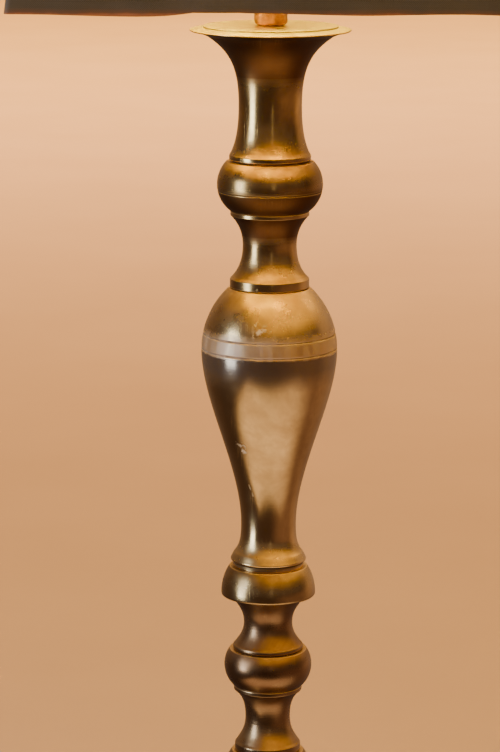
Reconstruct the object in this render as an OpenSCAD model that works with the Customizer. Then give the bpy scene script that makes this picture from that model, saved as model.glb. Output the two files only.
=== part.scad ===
// Standing lamp: a turned brass baluster column on a weighted foot, with a
// drip-pan cup, an E27 lampholder and bulb, and a square tapered fabric shade.
// Millimetres, +Z up, the foot's underside at z = 0, the front towards -Y.

/* [Show] */
// Which piece to draw

/* [Foot] */
// Diameter over the foot's rim
foot_diameter = 200; // [196:1:206]
// Height of the upright band at the foot's edge
foot_band = 12; // [11:0.5:12.5]
// Thickness of the iron disc that weights the foot
ballast_thickness = 14; // [13.5:0.1:14.2]

/* [Column] */
// Height of the lower knop
lower_knop_height = 25.8; // [25.2:0.1:26.4]
// Height of the neck above the lower knop
lower_neck_height = 47.1; // [46:0.1:50]
// Height of the middle knop
middle_knop_height = 26; // [25.4:0.1:26.6]
// Height of the neck under the bell collar
middle_neck_height = 41.8; // [41:0.1:44]
// Height of the bell-shaped collar under the vase
bell_height = 20.5; // [20:0.1:22]
// Height of the vase
vase_height = 193.5; // [193:0.1:194]
// Height of the neck above the vase
upper_neck_height = 52.4; // [51.5:0.1:55]
// Height of the upper knop
upper_knop_height = 33.3; // [32.8:0.1:34]
// Widest radius of the vase
vase_radius = 46.1; // [45:0.1:47]
// Outside radius of the threaded tube that holds the stack together
rod_radius = 5; // [4.95:0.01:5]

/* [Cup] */
// Radius of the drip pan at its lip
cup_radius = 54; // [53:0.1:56]
// Radius of the plate let into the top of the cup, which it stands a little proud of
plate_radius = 45; // [44.5:0.1:45.2]
// Thickness of that plate
plate_thickness = 1.5; // [1:0.1:1.8]

/* [Lampholder and bulb] */
// Outside radius of the lampholder's sleeve
holder_radius = 20; // [19.8:0.1:20.4]
// Radius over the crests of the bulb's screw cap
cap_radius = 13.1; // [13:0.05:13.15]
// Radius of the bulb's globe
globe_radius = 30; // [29:0.5:32]

/* [Shade] */
// Half the shade's width at its lower edge
shade_low = 164; // [160:1:168]
// Half the shade's width at its upper edge
shade_high = 136; // [132:1:140]
// Height of the shade
shade_height = 232; // [225:1:240]
// Thickness of the fabric
fabric = 1.2; // [1:0.1:1.4]
// Radius of the frame's wire
wire_radius = 1.6; // [1.4:0.1:1.8]

/* [Hidden] */
$fn = 96;

BRASS = [0.62, 0.45, 0.2];
DARK_BRASS = [0.4, 0.29, 0.15];
STEEL = [0.62, 0.62, 0.64];

bore = rod_radius + 0.3;            // the column's pieces slide over the tube
threaded = rod_radius + 0.05;       // nuts and the lampholder screw on to it
felt = 2;
foot_height = 123.5;
foot_r = foot_diameter / 2;
ballast_r = foot_r - 8;
cord_z = felt + 6;                  // height of the cord's way out at the back
cord_r = 3.1;

// Seats of the stacked pieces, from the foot up
lower_knop_z = felt + foot_height;
lower_neck_z = lower_knop_z + lower_knop_height;
middle_knop_z = lower_neck_z + lower_neck_height;
middle_neck_z = middle_knop_z + middle_knop_height;
bell_recess = 3.2;                  // the neck's top disc sits up inside the collar
bell_z = middle_neck_z + middle_neck_height - bell_recess;
vase_z = bell_z + bell_height;
upper_neck_z = vase_z + vase_height;
upper_knop_z = upper_neck_z + upper_neck_height;
cup_z = upper_knop_z + upper_knop_height;
cup_top = 90.8;                     // the cup's height to its inlaid plate
plate_z = cup_z + cup_top;
nut_height = 11;
holder_z = plate_z + nut_height + 0.5;

// The lampholder and bulb, measured up from the lampholder's lower end
insulator_z = holder_z + 21;
contact_z = insulator_z + 6;
tip_z = contact_z + 2.5;
sleeve_z = holder_z + 20.2;
sleeve_height = 36;
shelf_z = sleeve_z + 21.8;          // top of the flange that the shade's ring rests on
ring_thickness = 2;
play = 0.05;                        // running clearance round the shade's ring
cap_z = tip_z + 5;
cap_height = 21;
globe_z = tip_z + 108 - globe_radius;
pitch = 3.63;                       // the screw cap's thread pitch

// The shade, and the corner lines its frame follows
shade_z = plate_z + 20.5;
slope = (shade_low - shade_high) / shade_height;
lining = 0.5;
binding = 0.6;
binding_height = 9;
glue = 0.02;                        // the layers are stuck together over this gap
frame_gap = fabric + lining + wire_radius + 0.4;
arms_z = shelf_z + play + ring_thickness / 2;

function arc(c, r, from, to, n) =
  [for (i = [0:n]) c + r * [cos(from + (to - from) * i / n), sin(from + (to - from) * i / n)]];

// A smooth run from a to d, without a itself, so that it carries an outline on from there
function curve(a, b, c, d, n) =
  [for (i = [1:n]) let (t = i / n, u = 1 - t)
    u * u * u * a + 3 * u * u * t * b + 3 * u * t * t * c + t * t * t * d];

// A straight bore of a piece h tall, from its top back down to its base
function bored(r, h) = [[r, h], [r, 0]];

// Half width of the shade's outer face at height z
function shade_half(z) = shade_low - slope * (z - shade_z);

module turned(outline) {
  rotate_extrude() polygon(outline);
}

module wire(a, b, r) {
  d = b - a;
  translate(a) rotate([0, acos(d[2] / norm(d)), atan2(d[1], d[0])]) cylinder(h = norm(d), r = r);
}

// The outside of a knop, an arc about c, with a turned line where a groove's angle is given
function bulge(c, r, h, groove) = is_undef(groove)
  ? arc(c, r, asin(-c[1] / r), asin((h - c[1]) / r), 28)
  : concat(
    arc(c, r, asin(-c[1] / r), groove - 1.2, 12),
    [c + (r - 0.5) * [cos(groove), sin(groove)]],
    arc(c, r, groove + 1.2, asin((h - c[1]) / r), 16));

// A knop, cast hollow where it stands clear of the tube
module knop(c, r, h, groove) {
  turned(concat(bulge(c, r, h, groove),
    [[bore, h], [bore, h - 5], [c[0] + 6, h - 5], [c[0] + r - 7, c[1]], [c[0] + 6, 5], [bore, 5],
      [bore, 0]]));
}

// A neck: a moulded lip, a waist, and a thin disc under the next piece.
// lip, waist and disc are [radius, height]; low and high bend the two flares.
module neck(lip, waist, disc, h, low, high) {
  run = waist[1] - lip[1];
  rise = disc[1] - waist[1];
  turned(concat(
    [[lip[0] - 0.9, 0], [lip[0], 0.7]],
    [[lip[0], lip[1] - 1], [lip[0] - 0.3, lip[1]]],
    curve([lip[0] - 0.7, lip[1] + 0.2], [waist[0] + (lip[0] - waist[0]) * low[0], lip[1] + run * low[1]],
      [waist[0], lip[1] + run * low[2]], waist, 10),
    curve(waist, [waist[0], waist[1] + rise * high[1]],
      [waist[0] + (disc[0] - waist[0]) * high[0], waist[1] + rise * high[2]],
      [disc[0] - 0.8, disc[1] - 0.3], 12),
    [[disc[0], disc[1] + 0.5], [disc[0], h - 0.6], [disc[0] - 0.6, h]],
    bored(bore, h)));
}

module felt_pad() {
  color([0.12, 0.22, 0.14])
    difference() {
      cylinder(h = felt, r = foot_r - 2);
      translate([0, 0, -1]) cylinder(h = felt + 2, r = 18);
    }
}

module foot() {
  shoulder = foot_band + 6;
  color(BRASS)
    translate([0, 0, felt])
      difference() {
        turned(concat(
          [[foot_r - 1, 0], [foot_r, 1], [foot_r, foot_band], [foot_r - 1, foot_band + 1.1]],
          [[foot_r - 6, foot_band + 1.4]],
          arc([foot_r - 9, shoulder], 4.4, -75, 85, 10),
          [[foot_r - 12, shoulder + 4.8]],
          curve([foot_r - 13, shoulder + 5], [foot_r - 19, 38], [52, 41], [36.5, 56], 16),
          [[35.5, 57], [33.6, 57.4], [33.6, 60], [32.4, 61]],
          curve([31, 61.2], [20.5, 65], [16.4, 80], [16.4, 98], 14),
          curve([16.4, 98], [16.4, 109], [18.6, 114], [22.3, 119.7], 10),
          [[23.1, 120.4], [23.1, foot_height - 0.6], [22.5, foot_height]],
          [[bore, foot_height], [bore, 108], [12.8, 108]],
          curve([12.8, 94], [12.8, 78], [17, 61], [27, 57], 10),
          [[29.4, 55]],
          curve([33, 51.5], [49, 37], [foot_r - 23, 34], [foot_r - 17, shoulder + 1.5], 12),
          [[ballast_r + 0.3, ballast_thickness + 0.5], [ballast_r + 0.3, 0]]));
        translate([0, 0, cord_z - felt]) rotate([-90, 0, 0]) cylinder(h = foot_r + 5, r = 5.05);
      }
}

module ballast() {
  color([0.16, 0.16, 0.17])
    translate([0, 0, felt])
      difference() {
        cylinder(h = ballast_thickness, r = ballast_r);
        translate([0, 0, -1]) cylinder(h = ballast_thickness + 2, r = bore);
        translate([0, 0, -1]) cylinder(h = 8, r = 13);
        translate([-7.5, 0, -1]) cube([15, foot_r, 13.4]);
      }
}

module cord_bushing() {
  color([0.08, 0.08, 0.08])
    translate([0, 0, cord_z])
      rotate([-90, 0, 0])
        difference() {
          union() {
            translate([0, 0, foot_r]) cylinder(h = 2.2, r1 = 7.2, r2 = 6.2);
            translate([0, 0, ballast_r - 3]) cylinder(h = 11, r = 5);
            translate([0, 0, ballast_r - 3]) cylinder(h = 2.4, r = 5.9);
          }
          translate([0, 0, ballast_r - 5]) cylinder(h = 18, r = cord_r);
        }
}

module bottom_washer() {
  color(STEEL)
    translate([0, 0, felt + 5.5])
      difference() {
        cylinder(h = 1.5, r = 11);
        translate([0, 0, -1]) cylinder(h = 4, r = bore);
      }
}

module bottom_nut() {
  color(STEEL)
    translate([0, 0, felt + 1.5])
      difference() {
        cylinder(h = 4, r = 8.1, $fn = 6);
        translate([0, 0, -1]) cylinder(h = 6, r = threaded);
      }
}

module threaded_rod() {
  length = holder_z + 11 - felt - 0.8;
  color(STEEL)
    translate([0, 0, felt + 0.8])
      difference() {
        cylinder(h = length, r = rod_radius);
        translate([0, 0, -1]) cylinder(h = length + 2, r = rod_radius - 1.5);
      }
}

module lower_knop() {
  color(DARK_BRASS) translate([0, 0, lower_knop_z]) knop([10, 13.7], 19, lower_knop_height);
}

module lower_neck() {
  color(BRASS)
    translate([0, 0, lower_neck_z])
      neck([22.6, 5.7], [15.4, 23.7], [23.5, lower_neck_height - 3.4], lower_neck_height,
        [0.72, 0.19, 0.44], [0.41, 0.585, 0.82]);
}

module middle_knop() {
  color(DARK_BRASS) translate([0, 0, middle_knop_z]) knop([10.6, 14.6], 19.5, middle_knop_height);
}

module middle_neck() {
  color(BRASS)
    translate([0, 0, middle_neck_z])
      neck([24.1, 3], [16.7, 18.6], [26.4, middle_neck_height - 3.6], middle_neck_height,
        [0.57, 0.237, 0.5], [0.46, 0.43, 0.665]);
}

module bell_collar() {
  color(DARK_BRASS)
    translate([0, 0, bell_z])
      turned(concat(
        [[31.4, 0], [32.1, 0.5], [32.3, 1.4]],
        curve([32.3, 2], [32.3, 8], [30.5, 15], [26.5, bell_height], 12),
        [[bore, bell_height], [bore, bell_recess], [27.6, bell_recess], [28.4, 0]]));
}

module vase() {
  swell = [vase_radius - 58, 151];          // centre of the shoulder's arc
  groove_1 = asin(1.5 / 58);
  groove_2 = asin(11.5 / 58);
  wall = 3.5;
  color(BRASS)
    translate([0, 0, vase_z])
      turned(concat(
        [[24.2, 0], [24.2, 3.2], [24.6, 3.8], [25.7, 4.3], [25.9, 5.3], [25.5, 6]],
        curve([25, 8.1], [20.5, 13], [18.8, 16.5], [18.8, 29.5], 10),
        curve([18.8, 29.5], [18.8, 69.5], [vase_radius, 115], [vase_radius, 151], 28),
        [swell + 58 * [cos(groove_1 - 0.8), sin(groove_1 - 0.8)]],
        [swell + 57.3 * [cos(groove_1), sin(groove_1)]],
        arc(swell, 58, groove_1 + 0.8, groove_2 - 0.8, 4),
        [swell + 57.3 * [cos(groove_2), sin(groove_2)]],
        arc(swell, 58, groove_2 + 0.8, asin((vase_height - 151) / 58), 16),
        [[bore, vase_height], [bore, 187]],
        arc(swell, 58 - wall, asin(36 / (58 - wall)), 0, 10),
        curve([vase_radius - wall, 150], [vase_radius - wall, 115], [15.3, 69.5], [15.3, 29.5], 12),
        [[15.3, 9], [bore, 9], [bore, 0]]));
}

module upper_neck() {
  color(BRASS)
    translate([0, 0, upper_neck_z])
      neck([26.8, 6.6], [18.2, 29], [26.6, upper_neck_height - 3.4], upper_neck_height,
        [0.39, 0.22, 0.51], [0.49, 0.51, 0.79]);
}

module upper_knop() {
  color(DARK_BRASS) translate([0, 0, upper_knop_z]) knop([13.35, 17.9], 22.3, upper_knop_height, -11);
}

module cup() {
  ledge = cup_top - plate_thickness;
  color(BRASS)
    translate([0, 0, cup_z])
      turned(concat(
        [[26, 0], [26.2, 0.9], [27.4, 1.3], [27.5, 4.2]],
        curve([27, 4.7], [23.8, 11], [21.2, 20], [21.2, 37.7], 12),
        curve([21.2, 37.7], [21.2, 62], [26.5, 73], [41.9, 83.6], 16),
        [[44.5, 84.8], [47.5, 86.1], [cup_radius - 0.6, 87.2], [cup_radius, 87.7], [cup_radius - 0.3, 88.3]],
        [[49.5, 89.2], [plate_radius + 0.5, cup_top - 1.1], [plate_radius + 0.1, cup_top - 1.3]],
        [[plate_radius + 0.1, ledge], [40.5, ledge], [38.5, 86.4]],
        curve([37, 85.4], [24, 76], [18, 64], [18, 40], 12),
        [[18, 9], [bore, 9], [bore, 0]]));
}

module cover_plate() {
  color([0.8, 0.62, 0.3])
    translate([0, 0, plate_z - plate_thickness])
      turned([[bore, 0], [plate_radius, 0], [plate_radius, plate_thickness - 0.4],
        [plate_radius - 0.4, plate_thickness], [bore, plate_thickness]]);
}

module lock_nut() {
  color([0.72, 0.38, 0.2])
    translate([0, 0, plate_z])
      turned(concat(
        [[threaded, 0], [8.6, 0]],
        curve([8.6, 0], [10.6, 0.6], [11.35, 2.5], [11.35, 5], 6),
        curve([11.35, 7], [11.35, 9], [10.6, 10.6], [9, nut_height], 5),
        [[threaded, nut_height]]));
}

module holder_cap() {
  color(BRASS)
    translate([0, 0, holder_z])
      turned(concat(
        [[threaded, 0], [8.4, 0], [9, 0.6], [9, 8]],
        curve([9.4, 8.4], [16, 9], [20, 12], [20.4, 19], 8),
        [[20.4, 20], [18.6, 20]],
        curve([18.6, 18], [18.4, 13], [14, 10.6], [8.4, 10.2], 6),
        [[threaded, 10.2]]));
}

module holder_insulator() {
  reach = sleeve_z + sleeve_height - 1.4 - insulator_z;
  color([0.9, 0.88, 0.82])
    translate([0, 0, insulator_z])
      difference() {
        cylinder(h = reach, r = 18.4);
        translate([0, 0, 6]) cylinder(h = reach, r = 13.9);
      }
}

module holder_screws() {
  color(STEEL)
    for (side = [-1, 1])
      translate([side * 9, 0, insulator_z - 3])
        difference() {
          cylinder(h = 3, r = 2.6);
          translate([-3, -0.4, -1]) cube([6, 0.8, 1.8]);
        }
}

module centre_contact() {
  color(BRASS)
    translate([0, 0, contact_z])
      turned([[0, 0], [6, 0], [6, 0.6], [3.4, 0.9], [2.8, 2.3], [2.2, 2.48], [0, 2.48]]);
}

module screw_shell() {
  inner = cap_radius + 0.07;
  color(BRASS)
    translate([0, 0, contact_z])
      difference() {
        cylinder(h = 26, r = inner + 0.55);
        translate([0, 0, 0.8]) cylinder(h = 30, r = inner);
        translate([0, 0, -1]) cylinder(h = 4, r = 8);
      }
}

module holder_body() {
  shelf = shelf_z - sleeve_z;
  color(BRASS)
    translate([0, 0, sleeve_z])
      turned([[18.6, 0], [holder_radius, 0], [holder_radius, shelf - 2.2], [22.4, shelf - 1.8],
        [22.4, shelf], [holder_radius, shelf], [holder_radius, sleeve_height - 0.8],
        [holder_radius - 0.8, sleeve_height], [14.4, sleeve_height], [14.4, sleeve_height - 1.2],
        [18.6, sleeve_height - 1.2]]);
}

module shade_nut() {
  color(BRASS)
    translate([0, 0, shelf_z + ring_thickness + 2 * play])
      difference() {
        cylinder(h = 6, r = 23.6);
        translate([0, 0, -1]) cylinder(h = 8, r = holder_radius + 0.05);
        for (i = [0:23])
          rotate([0, 0, i * 15]) translate([24.1, 0, -1]) cylinder(h = 8, r = 0.9, $fn = 24);
      }
}

module bulb_tip() {
  color(STEEL)
    translate([0, 0, tip_z])
      turned(concat([[0, 0], [2.4, 0]], arc([2.9, 1.5], 1.4, -80, 0, 4), [[4.4, 1.9], [0, 1.9]]));
}

module bulb_insulator() {
  color([0.05, 0.05, 0.06])
    translate([0, 0, tip_z + 1.9])
      turned([[0, 0], [5.2, 0], [9.4, 2.9], [11, 3.1], [11, 4.2], [0, 4.2]]);
}

module bulb_cap() {
  turns = 5;
  crest = cap_radius - 0.3;
  color([0.75, 0.75, 0.74])
    translate([0, 0, cap_z])
      turned(concat(
        [[11.2, 0]],
        [for (i = [0:8 * turns]) [crest - 0.3 * cos(i * 45), 0.6 + i * pitch / 8]],
        [[cap_radius - 0.05, 19.4], [cap_radius - 0.05, cap_height], [12.3, cap_height], [12.3, 1.2],
          [11.2, 1.2]]));
}

module bulb_glass() {
  mouth = cap_z + 8;
  neck_z = cap_z + cap_height;
  color([0.97, 0.95, 0.88, 0.4])
    turned(concat(
      [[12.25, mouth], [12.25, neck_z]],
      curve([13, neck_z + 0.8], [15.5, neck_z + 16], [globe_radius, globe_z - 26],
        [globe_radius, globe_z], 16),
      arc([0, globe_z], globe_radius, 6, 90, 16),
      arc([0, globe_z], globe_radius - 0.9, 90, 6, 16),
      curve([globe_radius - 0.9, globe_z], [globe_radius - 0.9, globe_z - 26], [14.2, neck_z + 16],
        [11.4, neck_z], 12),
      [[11.4, mouth]]));
}

module bulb_stem() {
  color([0.9, 0.92, 0.9, 0.5])
    translate([0, 0, cap_z + 8])
      turned(concat(
        [[0, 0], [11.2, 0], [11.2, 1]],
        curve([10, 2], [5, 4], [3.6, 8], [3.4, 14], 6),
        [[2.4, 34], [1.2, 44], [0, 44]]));
}

module filament_posts() {
  top = globe_z + 4;
  color([0.5, 0.5, 0.52])
    for (side = [-1, 1])
      wire([side * 2.4, 0, cap_z + 42], [side * 13, 0, top], 0.4);
}

module filament() {
  top = globe_z + 4;
  color([1, 0.85, 0.5])
    wire([-13, 0, top + 0.2], [13, 0, top + 0.2], 0.6);
}

module spider_ring() {
  color(DARK_BRASS)
    translate([0, 0, shelf_z + play])
      difference() {
        cylinder(h = ring_thickness, r = 26);
        translate([0, 0, -1]) cylinder(h = ring_thickness + 2, r = holder_radius + 0.08);
      }
}

// Point on a corner upright's centre line at height z, for the corner at angle a
function corner(z, a) = let (h = shade_half(z) - frame_gap) [h * sign(cos(a)), h * sign(sin(a)), z];

module spider_arms() {
  color(DARK_BRASS)
    for (a = [45:90:315])
      wire([25 * cos(a), 25 * sin(a), arms_z], corner(arms_z, a), wire_radius - 0.1);
}

module square_ring(z) {
  for (a = [45:90:315]) {
    wire(corner(z, a), corner(z, a + 90), wire_radius);
    translate(corner(z, a)) sphere(r = wire_radius);
  }
}

module bottom_frame() {
  color(DARK_BRASS) square_ring(shade_z + 2.4);
}

module top_frame() {
  color(DARK_BRASS) square_ring(shade_z + shade_height - 2.4);
}

module uprights() {
  color(DARK_BRASS)
    for (a = [45:90:315])
      wire(corner(shade_z + 2.4, a), corner(shade_z + shade_height - 2.4, a), wire_radius - 0.1);
}

// A square tapering sleeve between two heights, from inset `inner` out to inset `outer`
module sleeve(z0, z1, outer, inner) {
  low = shade_half(z0);
  high = shade_half(z1);
  translate([0, 0, z0])
    difference() {
      linear_extrude(height = z1 - z0, scale = (high - outer) / (low - outer))
        square(2 * (low - outer), center = true);
      translate([0, 0, -1])
        linear_extrude(height = z1 - z0 + 2,
          scale = (high - inner - slope) / (low - inner + slope))
          square(2 * (low - inner + slope), center = true);
    }
}

module shade_lining() {
  color([0.85, 0.8, 0.68])
    sleeve(shade_z + 0.1, shade_z + shade_height - 0.1, fabric + glue, fabric + lining);
}

module shade_cover() {
  color([0.24, 0.23, 0.2])
    sleeve(shade_z, shade_z + shade_height, 0, fabric);
}

module bottom_binding() {
  color([0.22, 0.2, 0.17]) sleeve(shade_z, shade_z + binding_height, -binding, -glue);
}

module top_binding() {
  high = shade_z + shade_height;
  color([0.22, 0.2, 0.17]) sleeve(high - binding_height, high, -binding, -glue);
}

felt_pad();
foot();
ballast();
cord_bushing();
bottom_washer();
bottom_nut();
threaded_rod();
lower_knop();
lower_neck();
middle_knop();
middle_neck();
bell_collar();
vase();
upper_neck();
upper_knop();
cup();
cover_plate();
lock_nut();
holder_cap();
holder_insulator();
holder_screws();
centre_contact();
screw_shell();
holder_body();
shade_nut();
bulb_tip();
bulb_insulator();
bulb_cap();
bulb_glass();
bulb_stem();
filament_posts();
filament();
spider_ring();
spider_arms();
bottom_frame();
uprights();
top_frame();
shade_lining();
shade_cover();
bottom_binding();
top_binding();
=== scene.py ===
import math

import bmesh
import bpy
import numpy as np
from mathutils import Matrix, Vector, noise


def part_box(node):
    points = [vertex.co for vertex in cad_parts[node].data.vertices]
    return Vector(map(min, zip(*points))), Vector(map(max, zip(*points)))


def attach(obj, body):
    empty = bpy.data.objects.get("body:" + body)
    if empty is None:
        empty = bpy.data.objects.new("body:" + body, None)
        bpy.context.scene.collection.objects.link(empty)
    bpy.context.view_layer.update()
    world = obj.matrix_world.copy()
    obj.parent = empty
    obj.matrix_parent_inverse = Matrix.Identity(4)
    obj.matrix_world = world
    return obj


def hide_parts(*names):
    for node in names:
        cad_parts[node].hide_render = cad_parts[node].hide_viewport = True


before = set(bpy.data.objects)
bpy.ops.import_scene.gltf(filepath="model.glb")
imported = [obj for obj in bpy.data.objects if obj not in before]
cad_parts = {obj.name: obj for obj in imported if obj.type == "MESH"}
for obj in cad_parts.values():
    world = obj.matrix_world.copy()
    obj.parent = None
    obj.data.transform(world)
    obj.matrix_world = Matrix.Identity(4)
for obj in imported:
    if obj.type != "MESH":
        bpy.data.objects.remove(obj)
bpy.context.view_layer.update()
mm = 0.001

# Camera: a long lens two metres in front of the lamp and above the shade's hem,
# looking a little down on the column, which stands just right of the middle.
camera_at = (-0.0130, -2.072, 0.8335)
looking_down, roll = 11.4, 0.18
camera_data = bpy.data.cameras.new("Camera")
camera_data.sensor_width = 36
camera_data.lens = 148.9
camera_data.clip_end = 200
camera = bpy.data.objects.new("Camera", camera_data)
bpy.context.scene.collection.objects.link(camera)
camera.matrix_world = (
    Matrix.Translation(camera_at)
    @ Matrix.Rotation(math.radians(90 - looking_down), 4, "X")
    @ Matrix.Rotation(math.radians(roll), 4, "Z")
)
bpy.context.scene.camera = camera


# Foot: a spun and turned brass bell with a moulded plinth, hollow underneath and
# aged brown. The lathe's lines stay in it, and dirt and painted shade sit in its quirks.
def outline_of(node, grain=0.02 * mm, full_ring=16):
    """The (radius, height) points round a turned CAD piece's section, in order, outside first."""
    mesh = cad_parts[node].data
    mesh.calc_loop_triangles()
    co = np.array([v.co for v in mesh.vertices])
    tri = np.array([t.vertices for t in mesh.loop_triangles])
    rz = np.c_[np.hypot(co[:, 0], co[:, 1]), co[:, 2]]
    keys, index = np.unique(np.round(rz / grain).astype(int), axis=0, return_inverse=True)
    index = index.ravel()
    places, merged = [], np.zeros(len(keys), int)
    for i, k in enumerate(keys):
        near = [j for j, p in enumerate(places) if abs(p[0] - k[0]) <= 1 and abs(p[1] - k[1]) <= 1]
        merged[i] = near[0] if near else len(places)
        if not near:
            places.append(k)
    ring = merged[index]
    azimuth = np.round(np.degrees(np.arctan2(co[:, 1], co[:, 0])), 1)
    full = {r for r in range(len(places))
            if len(np.unique(azimuth[ring == r])) > full_ring or places[r][0] == 0}
    links = {}
    for a, b, c in ring[tri]:
        for p, q in ((a, b), (b, c), (c, a)):
            if p != q and p in full and q in full:
                links.setdefault(p, {}).setdefault(q, 0)
                links[p][q] += 1
    start = max(full & set(links), key=lambda r: (places[r][0], -places[r][1]))
    order, last = [start], None
    while True:
        here = order[-1]
        onward = [q for q in sorted(links[here], key=lambda q: -links[here][q])[:2] if q != last]
        onward = [q for q in onward if q == start or q not in order]
        if not onward or onward[0] == start and len(order) > 2:
            break
        last = here
        order.append(onward[0])
    points = np.array([[np.median(rz[ring == r, 0]), np.median(rz[ring == r, 1])] for r in order])
    x, y = points[:, 0], points[:, 1]
    if np.sum(x * np.roll(y, -1) - np.roll(x, -1) * y) < 0:
        points = points[::-1]
    return points


def eased(points, corner=24, round_over=0.35 * mm, longest=5 * mm):
    """A closed outline with its runs of short steps made smooth and its corners just broken."""
    n = len(points)
    step = np.roll(points, -1, 0) - points
    heading = np.degrees(np.arctan2(step[:, 1], step[:, 0]))
    turn = (heading - np.roll(heading, 1) + 180) % 360 - 180
    sharp = [i for i in range(n) if abs(turn[i]) > corner]
    if not sharp:
        sharp = [0]
    result = []
    for s, e in zip(sharp, sharp[1:] + [sharp[0] + n]):
        run = [points[i % n] for i in range(s, e + 1)]
        for i in range(len(run) - 1):
            p1, p2 = run[i], run[i + 1]
            p0 = run[i - 1] if i else p1 - (p2 - p1)
            p3 = run[i + 2] if i + 2 < len(run) else p2 + (p2 - p1)
            length = np.linalg.norm(p2 - p1)
            bend = abs(turn[(s + i) % n]) if i else 0
            count = max(1, min(4, int(bend / 3) + 1), math.ceil(length / longest))
            if len(run) == 2:
                count = 1
            for k in range(count):
                t = k / count
                m1, m2 = (p2 - p0) / 2, (p3 - p1) / 2
                h = (2 * t**3 - 3 * t**2 + 1, t**3 - 2 * t**2 + t, 3 * t**2 - 2 * t**3, t**3 - t**2)
                result.append((h[0] * p1 + h[1] * m1 + h[2] * p2 + h[3] * m2, i == 0 and k == 0))
    outline, run_in, inset = [], 1.8, 0.22
    for i, (p, is_corner) in enumerate(result):
        before, after = result[i - 1][0], result[(i + 1) % len(result)][0]
        if not is_corner or p[0] < 1e-6:
            outline.append(p)
            continue
        a, b = before - p, after - p
        la, lb = np.linalg.norm(a), np.linalg.norm(b)
        d = min(round_over, la / 3, lb / 3)
        a, b = a / la * d, b / lb * d
        if la > 5 * d:
            outline.append(p + a * run_in)
        outline += [p + a, p + (a + b) * inset, p + b]
        if lb > 5 * d:
            outline.append(p + b * run_in)
    return np.array(outline)


def hollowness(outline, reach):
    """How far each point lies in a hollow (+) or on an edge (-) of the outline, within reach."""
    step = np.linalg.norm(np.roll(outline, -1, 0) - outline, axis=1)
    along = np.concatenate([[0], np.cumsum(step)])
    total, closed = along[-1], np.vstack([outline, outline[:1]])
    s = along[:-1]
    around = np.zeros_like(outline)
    for offset in (-reach, -reach / 2, reach / 2, reach):
        there = (s + offset) % total
        for axis in (0, 1):
            around[:, axis] += np.interp(there, along, closed[:, axis]) / 4
    tangent = np.roll(outline, -1, 0) - np.roll(outline, 1, 0)
    tangent /= np.maximum(np.linalg.norm(tangent, axis=1), 1e-9)[:, None]
    outward = np.c_[tangent[:, 1], -tangent[:, 0]]
    return np.sum((around - outline) * outward, axis=1) / reach


def lathe(name, outline, segments=128, shape=None):
    """A closed, smooth turned mesh about the Z axis, with its hollows and edges as attributes."""
    rows = len(outline)
    azimuth = np.arange(segments) * 2 * math.pi / segments
    grid = np.empty((rows, segments, 3))
    grid[..., 0] = outline[:, :1] * np.cos(azimuth)
    grid[..., 1] = outline[:, :1] * np.sin(azimuth)
    grid[..., 2] = outline[:, 1:]
    if shape is not None:
        grid = shape(grid, azimuth)
    pole = outline[:, 0] < 1e-6
    number = np.arange(rows * segments).reshape(rows, segments)
    number[pole] = number[pole, :1]
    faces = []
    for i in range(rows):
        j = (i + 1) % rows
        if pole[i] and pole[j]:
            continue
        for k in range(segments):
            m = (k + 1) % segments
            corners = [number[i, k], number[i, m], number[j, m], number[j, k]]
            faces.append(list(dict.fromkeys(int(c) for c in corners)))
    used = sorted({c for face in faces for c in face})
    renumber = {c: i for i, c in enumerate(used)}
    flat = grid.reshape(-1, 3)
    mesh = bpy.data.meshes.new(name)
    mesh.from_pydata([flat[c].tolist() for c in used], [], [[renumber[c] for c in f] for f in faces])
    row_of = np.array(used) // segments
    for attribute, reach, sign in (("grime_and_shade", 3.2 * mm, 1), ("groove", 0.8 * mm, 1), ("edge", 0.9 * mm, -1)):
        value = np.clip(hollowness(outline, reach) * sign, 0, 1)
        mesh.attributes.new(attribute, "FLOAT", "POINT").data.foreach_set(
            "value", value[row_of].astype(np.float32)
        )
    mesh.polygons.foreach_set("use_smooth", [True] * len(mesh.polygons))
    mesh.update()
    piece = bpy.data.objects.new(name, mesh)
    bpy.context.scene.collection.objects.link(piece)
    return piece


def turned(node, name, body, finish, segments=128, shape=None):
    """The lathe-turned piece that stands for a CAD node, finished and set on its body."""
    piece = lathe(name, eased(outline_of(node)), segments, shape)
    piece.data.materials.append(finish)
    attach(piece, body)
    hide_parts(node)
    return piece


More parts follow.
